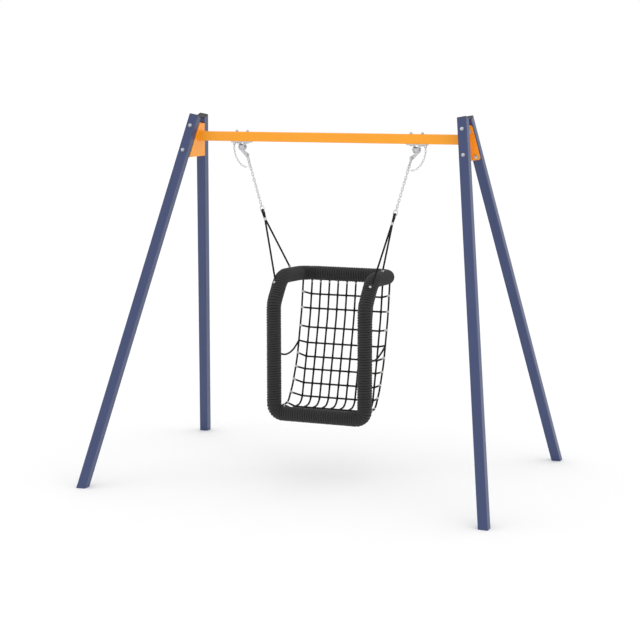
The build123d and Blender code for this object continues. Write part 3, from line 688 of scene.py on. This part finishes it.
braid, braid_shader = new_finish("dark grey braided rope", Specular_IOR_Level=0.22, Sheen_Weight=0.10,
                                 Sheen_Roughness=0.6)
braid_place = own_coordinates(braid)
braid_waves = []
for slant in (1.0, -1.0):
    slanted = add_node(braid, "Mapping")
    slanted.inputs["Scale"].default_value = (62.0, 5.0 * slant, 1.0)
    linked(braid, braid_place, "UV", slanted, "Vector")
    wave = add_node(braid, "TexWave", {"bands_direction": "DIAGONAL"}, Scale=1.0, Distortion=0.6,
                    Detail=1.0)
    linked(braid, slanted, "Vector", wave, "Vector")
    braid_waves.append(wave)
plait = add_node(braid, "Math", {"operation": "MULTIPLY"})
linked(braid, braid_waves[0], "Fac", plait, 0)
linked(braid, braid_waves[1], "Fac", plait, 1)
braid_cloud = add_node(braid, "TexNoise", Scale=14.0, Detail=5.0, Roughness=0.6)
linked(braid, braid_place, "Object", braid_cloud, "Vector")
braid_tone = tone(braid, braid_shader, braid_cloud, "Fac",
                  ((0.3, (0.019, 0.019, 0.0195)), (0.7, (0.029, 0.029, 0.0295))))
# Painted shade: the rope's colour is multiplied down to 0.12 in the groove between each two turns, and back to
# full a quarter of the way up to the crest.
across_turn = add_node(braid, "SeparateXYZ")
linked(braid, braid_place, "UV", across_turn, "Vector")
from_crest = add_node(braid, "Math", {"operation": "PINGPONG"})
from_crest.inputs[1].default_value = 0.5
linked(braid, across_turn, "Y", from_crest, 0)
groove_shade_ramp = add_node(braid, "ValToRGB")
groove_shade_ramp.color_ramp.elements[0].color = (0.12, 0.12, 0.12, 1.0)
groove_shade_ramp.color_ramp.elements[1].color = (1.0, 1.0, 1.0, 1.0)
groove_shade_ramp.color_ramp.elements[1].position = 0.24
linked(braid, from_crest, "Value", groove_shade_ramp, "Fac")
groove_shaded_colour = add_node(braid, "MixRGB", {"blend_type": "MULTIPLY"}, Fac=1.0)
linked(braid, braid_tone, "Color", groove_shaded_colour, "Color1")
linked(braid, groove_shade_ramp, "Color", groove_shaded_colour, "Color2")
linked(braid, groove_shaded_colour, "Color", braid_shader, "Base Color")
tone(braid, braid_shader, braid_cloud, "Fac", ((0.3, 0.68), (0.7, 0.82)), "Roughness")
relief(braid, braid_shader, plait, "Value", 0.5, 0.0008)
winding = new_piece("seat_winding", winding_surface(), braid, "seat")
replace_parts(winding, "bottom_bar_wrap", "bottom_corner_wraps", "left_leg_wrap", "right_leg_wrap",
            "shoulder_wraps", "left_arm_wrap", "right_arm_wrap", "rear_corner_wraps", "rear_bar_wrap")
tube_steel = plated_finish("galvanised tube", (0.30, 0.30, 0.31), (0.42, 0.42, 0.43), 0.5)
dress(tube_steel, "seat_frame_tube")

# ---------------------------------------------------------------- net
# The back and floor of the seat: nine upright ropes and a border rope at each side, with cross ropes
# put through their strands. They come out of the rear bar's winding and end in the bottom bar's.
upright_spacing, upright_side_count = 0.0615, 4
upright_line = bent_line([(0, y, z) for y, z in (
    (0.354, 1.215), (0.317, 0.985), (0.245, 0.715), (0.159, 0.415), (-0.112, 0.409))],
    (0.9, 0.9, 0.075))
border_x = 0.3016
border_line = bent_line([(border_x, y, z) for y, z in (
    (0.336, 1.232), (0.300, 1.000), (0.222, 0.705), (0.140, 0.535), (0.062, 0.436), (-0.112, 0.428))],
    (0.7, 0.42, 0.35, 0.07))
row_heights = (1.1165, 1.023, 0.9005, 0.801, 0.7125, 0.633, 0.5445, 0.461)
border_row_heights = (1.132, 1.029, 0.912, 0.815, 0.736, 0.650, 0.5715, 0.4935)
floor_rows = (0.050, -0.012, -0.066)
border_floor_rows = (0.043, -0.014, -0.072)
row_bend, side_rope_row = 0.045, 3


def crossing(line, axis, level):
    """Where a line falls through a level on one axis, and how far along the line that is."""
    along = distances(line)
    spot = np.interp(-level, -line[:, axis], along)
    return np.array([np.interp(spot, along, line[:, n]) for n in range(3)]), spot


upright_crossings = ([crossing(upright_line, 2, z) for z in row_heights]
                     + [crossing(upright_line, 1, y) for y in floor_rows])
border_crossings = ([crossing(border_line, 2, z) for z in border_row_heights]
                    + [crossing(border_line, 1, y) for y in border_floor_rows])
upright_xs = [upright_spacing * n for n in range(-upright_side_count, upright_side_count + 1)]
uprights = [laid_rope(upright_line + (x, 0, 0), parted=[spot for _, spot in upright_crossings])
            for x in upright_xs]
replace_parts(new_piece("net_uprights", joined(uprights), rope_finish, "seat"),
            "net_upright_ropes")
border = laid_rope(border_line)
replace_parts(new_piece("net_borders", joined(both_ends([border])), rope_finish, "seat"),
            "net_border_ropes")
row_lines = []
for (inner, _), (edge, _) in zip(upright_crossings, border_crossings):
    last_x = upright_xs[-1]
    row_lines.append(bent_line([(-border_x, edge[1], edge[2]), (-last_x, inner[1], inner[2]),
                                (last_x, inner[1], inner[2]), (border_x, edge[1], edge[2])],
                               (row_bend, row_bend)))
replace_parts(new_piece("net_rows", joined([laid_rope(line) for line in row_lines]), rope_finish, "seat"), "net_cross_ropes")

# ---------------------------------------------------------------- net connectors and top ferrules
# Pale cast aluminium tees clamp the cross ropes' ends to the border ropes. A small pressed ferrule
# sits on each upright just below the rear bar.
rope_radius = rope_diameter / 2
connector_wall, connector_length = 0.0025, 0.014
gripped_radius, fitting_around = rope_radius * 0.9, 28
cast_grey = plated_finish("cast aluminium", (0.50, 0.49, 0.46), (0.68, 0.67, 0.64), 0.5, metal=0.35,
                          grain=120.0)


def sleeve_profile(inner, outer, length, lip=0.0008):
    """Radii and heights of a short sleeve with rounded lips and a shallow waist."""
    return ((inner, 0.0), (outer - lip, 0.0), (outer, lip), (outer, length * 0.22),
            (outer - lip * 0.8, length * 0.32), (outer - lip * 0.8, length * 0.68), (outer, length * 0.78),
            (outer, length - lip), (outer - lip, length), (inner, length))


tees = []
for number, ((inner, _), (edge, spot)) in enumerate(zip(upright_crossings, border_crossings)):
    if number == side_rope_row:
        continue
    along = distances(border_line)
    ahead = np.array([np.interp(spot + 0.002, along, border_line[:, n]) for n in range(3)])
    tangent = Vector(ahead - edge).normalized()
    toward = (Vector((upright_xs[-1], inner[1], inner[2])) - Vector(edge)).normalized()
    outer = rope_radius + connector_wall
    tees.append(turned(sleeve_profile(gripped_radius, outer, connector_length),
                       Vector(edge) - tangent * connector_length / 2, tangent,
                       points=fitting_around, hollow=True))
    tees.append(turned(((outer * 0.8, 0.0), (outer * 0.96, rope_radius), (outer, connector_length * 0.6),
                        (outer, connector_length - 0.0008), (outer - 0.0008, connector_length),
                        (gripped_radius, connector_length)), Vector(edge), toward,
                       points=fitting_around))
connectors = new_piece("net_tees", joined(both_ends(tees)), cast_grey, "seat", sharp=40)
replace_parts(connectors, "net_connectors")

ferrule_wall, ferrule_height, ferrule_drop = 0.0018, 0.009, tube_radius + winding_rope + 0.00625
top, _ = crossing(upright_line, 2, rear_bar_height - ferrule_drop)
low, _ = crossing(upright_line, 2, rear_bar_height - ferrule_drop - ferrule_height)
down = Vector(low - top)
top_ferrules = [turned(sleeve_profile(gripped_radius, rope_radius + ferrule_wall, down.length),
                       Vector(top) + Vector((x, 0, 0)), down, points=fitting_around, hollow=True)
                for x in upright_xs]
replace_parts(new_piece("upright_ferrules", joined(top_ferrules), cast_grey, "seat", sharp=40),
            "net_top_ferrules")

# ---------------------------------------------------------------- slings
# At each side one rope runs up from the shoulder, over the round thimble and down to the arm. A
# pressed sleeve pinches its two legs together under the thimble.
pull_angle = math.radians(16.77)
pull = Vector((-math.sin(pull_angle), 0.0, -math.cos(pull_angle)))
thimble = (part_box("right_thimble")[0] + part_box("right_thimble")[1]) / 2
rope_pair = rope_radius + 0.00015
rope_loop, ferrule_start, ferrule_length = 0.0071 + rope_radius, 0.040, 0.018
sling_bury = 0.026


def from_middle(point, distance):
    """The point at a distance from the loop's middle line, on the side where the given point is."""
    middle = loop[np.argmin(np.linalg.norm(loop - point, axis=1))]
    return Vector(middle + (point - middle) / np.linalg.norm(point - middle) * distance)


sling_front = from_middle((0.333, -0.078, 1.268), tube_radius + winding_rope)
sling_rear = from_middle((0.318, 0.143, 1.311), tube_radius + winding_rope)
leave = (math.asin(rope_loop / math.hypot(ferrule_start, rope_pair))
         - math.atan2(rope_pair, ferrule_start))
loop_corner = rope_loop * (1 + math.sin(leave)) / math.cos(leave)


def by_thimble(down, forward):
    """A point so far down the line of pull from the thimble, and so far to the front."""
    return thimble + pull * down + Vector((0.0, -forward, 0.0))


ferrule_end = ferrule_start + ferrule_length
low_front, low_rear = by_thimble(ferrule_end, rope_pair), by_thimble(ferrule_end, -rope_pair)
sling_corners = (
    sling_front + (sling_front - low_front).normalized() * sling_bury, low_front,
    by_thimble(ferrule_start, rope_pair), by_thimble(-rope_loop, loop_corner),
    by_thimble(-rope_loop, -loop_corner), by_thimble(ferrule_start, -rope_pair), low_rear,
    sling_rear + (sling_rear - low_rear).normalized() * sling_bury)
loop_turn, spread_bend, ferrule_bend = rope_loop - 0.0001, 0.040, 0.0315
sling_bends = (spread_bend, ferrule_bend, loop_turn, loop_turn, ferrule_bend, spread_bend)
sling_line = bent_line([tuple(c) for c in sling_corners], sling_bends, step=0.002)
sling_shape = laid_rope(sling_line)
for side, x in (("right", 1), ("left", -1)):
    sling = new_piece(f"{side}_sling", flipped(sling_shape, x), rope_finish, "seat")
    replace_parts(sling, f"{side}_sling_rope")

sleeve_wall, sleeve_dent, sleeve_around = 0.0022, 0.0005, 40
sleeve_half, sleeve_radius = rope_pair, rope_radius + sleeve_wall
pull_side = Vector((math.cos(pull_angle), 0.0, -math.sin(pull_angle)))
sleeve_rings = []
for share, inset in ((0.0, 0.0020), (0.0, 0.0008), (0.05, 0.0), (0.2, 0.0), (0.27, sleeve_dent),
                     (0.42, sleeve_dent), (0.49, 0.0), (0.56, 0.0), (0.63, sleeve_dent),
                     (0.78, sleeve_dent), (0.85, 0.0), (0.95, 0.0), (1.0, 0.0008), (1.0, 0.0020)):
    ring = []
    for step in range(sleeve_around):
        angle = step * math.pi / (sleeve_around / 2)
        reach = sleeve_radius - inset
        forward = math.cos(angle) * reach + math.copysign(sleeve_half, math.cos(angle))
        ring.append(by_thimble(ferrule_start + ferrule_length * share, forward)
                    + pull_side * math.sin(angle) * reach)
    sleeve_rings.append(ring)
pressed = new_piece("pressed_sleeves", joined(both_ends([stacked(sleeve_rings)])), cast_grey, "seat",
                    sharp=40)
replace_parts(pressed, "sling_ferrules")

# ---------------------------------------------------------------- sling fastenings
# A collar closes the hole where each sling goes into the arm. Its other end is held in the shoulder
# by a round-headed bolt through the tube, with a nut behind.
collar_stand_off, collar_wall, collar_height = 0.005, 0.003, 0.009
collar_along = (low_rear - sling_rear).normalized()
collar = turned(
    sleeve_profile(gripped_radius, rope_radius + collar_wall, collar_height + collar_stand_off),
    sling_rear, collar_along, points=32, hollow=True)
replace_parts(new_piece("arm_collars", joined(both_ends([collar])), cast_grey, "seat", sharp=40),
            "sling_entry_collars")

sling_bolt_y, sling_bolt_z, sling_bolt_turn = -0.072, 1.214, math.radians(20.0)
sling_bolt, sling_bolt_head, sling_head_height, sling_bolt_stand_off = 0.010, 0.017, 0.005, 0.0003
sling_bolt_flats, sling_nut_height, sling_bolt_over = 0.016, 0.008, 0.003
slant = Vector((0.0, arm_front - seat_front, arm_height - kink_height)).normalized()
bolt_out = (Vector((0.0, -slant.z, slant.y)) * math.cos(sling_bolt_turn)
            + Vector((math.sin(sling_bolt_turn), 0.0, 0.0)))
bolt_middle = Vector((seat_half_width, sling_bolt_y, sling_bolt_z))
bolt_reach = bolt_out * (tube_radius + winding_rope + sling_bolt_stand_off)
half_head, head_rim = sling_bolt_head / 2, 0.0012
round_head = [(half_head * 0.3, -0.001), (half_head, -0.0005), (half_head, head_rim)]
round_head += [(half_head * math.cos(angle), head_rim + (sling_head_height - head_rim) * math.sin(angle))
               for angle in [step * math.pi / 14 for step in range(1, 7)]]
bolt_shapes = [turned(round_head, bolt_middle + bolt_reach, bolt_out, points=40),
               turned(threaded_profile(sling_bolt / 2, 0.0, sling_nut_height + sling_bolt_over),
                      bolt_middle - bolt_reach, -bolt_out, points=thread_around)]
nut_shapes = [turned(hexagon_profile(sling_bolt_flats, sling_nut_height), bolt_middle - bolt_reach,
                     -bolt_out, six_sided=sling_bolt_flats)]
for name, shapes, node in (("shoulder_bolts", bolt_shapes, "sling_bolts"),
                           ("shoulder_nuts", nut_shapes, "sling_bolt_nuts")):
    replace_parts(new_piece(name, joined(both_ends(shapes)), zinc, "seat", sharp=32), node)

# ---------------------------------------------------------------- floor and light
# A plain pale floor without an edge, under an even white sky. Two broad soft lights, one overhead and
# a stronger one from the right, make the right-hand faces a little lighter.
floor_reach = 60
floor_mesh = bpy.data.meshes.new("floor")
floor_mesh.from_pydata([(-floor_reach, -floor_reach, 0), (floor_reach, -floor_reach, 0),
                        (floor_reach, floor_reach, 0), (-floor_reach, floor_reach, 0)], [], [(0, 1, 2, 3)])
floor_finish, floor_shader = new_finish("pale floor", Roughness=0.9, Specular_IOR_Level=0.1)
floor_grain = add_node(floor_finish, "TexNoise", Scale=2.0, Detail=3.0)
linked(floor_finish, own_coordinates(floor_finish), "Object", floor_grain, "Vector")
tone(floor_finish, floor_shader, floor_grain, "Fac",
     ((0.0, (0.935, 0.935, 0.935)), (1.0, (0.945, 0.945, 0.945))))
floor_mesh.materials.append(floor_finish)
floor = bpy.data.objects.new("floor", floor_mesh)
bpy.context.scene.collection.objects.link(floor)
floor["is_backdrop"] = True

sky = bpy.data.worlds.new("studio")
sky.use_nodes = True
sky.node_tree.nodes["Background"].inputs["Color"].default_value = (1.0, 1.0, 1.0, 1.0)
sky.node_tree.nodes["Background"].inputs["Strength"].default_value = 1.0
bpy.context.scene.world = sky
for name, toward, width, strength in (("overhead_light", (0.0, 0.1, 1.0), 90.0, 0.15),
                                      ("right_light", (1.0, -0.25, 0.75), 90.0, 0.30)):
    light_data = bpy.data.lights.new(name, "SUN")
    light_data.angle = math.radians(width)
    light_data.energy = strength
    light = bpy.data.objects.new(name, light_data)
    light.rotation_mode = "QUATERNION"
    light.rotation_quaternion = Vector(toward).to_track_quat("Z", "Y")
    bpy.context.scene.collection.objects.link(light)
bpy.context.scene.view_settings.view_transform = "Standard"

# ---------------------------------------------------------------- sizes
# The box round the finished object, without the floor.
low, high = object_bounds()
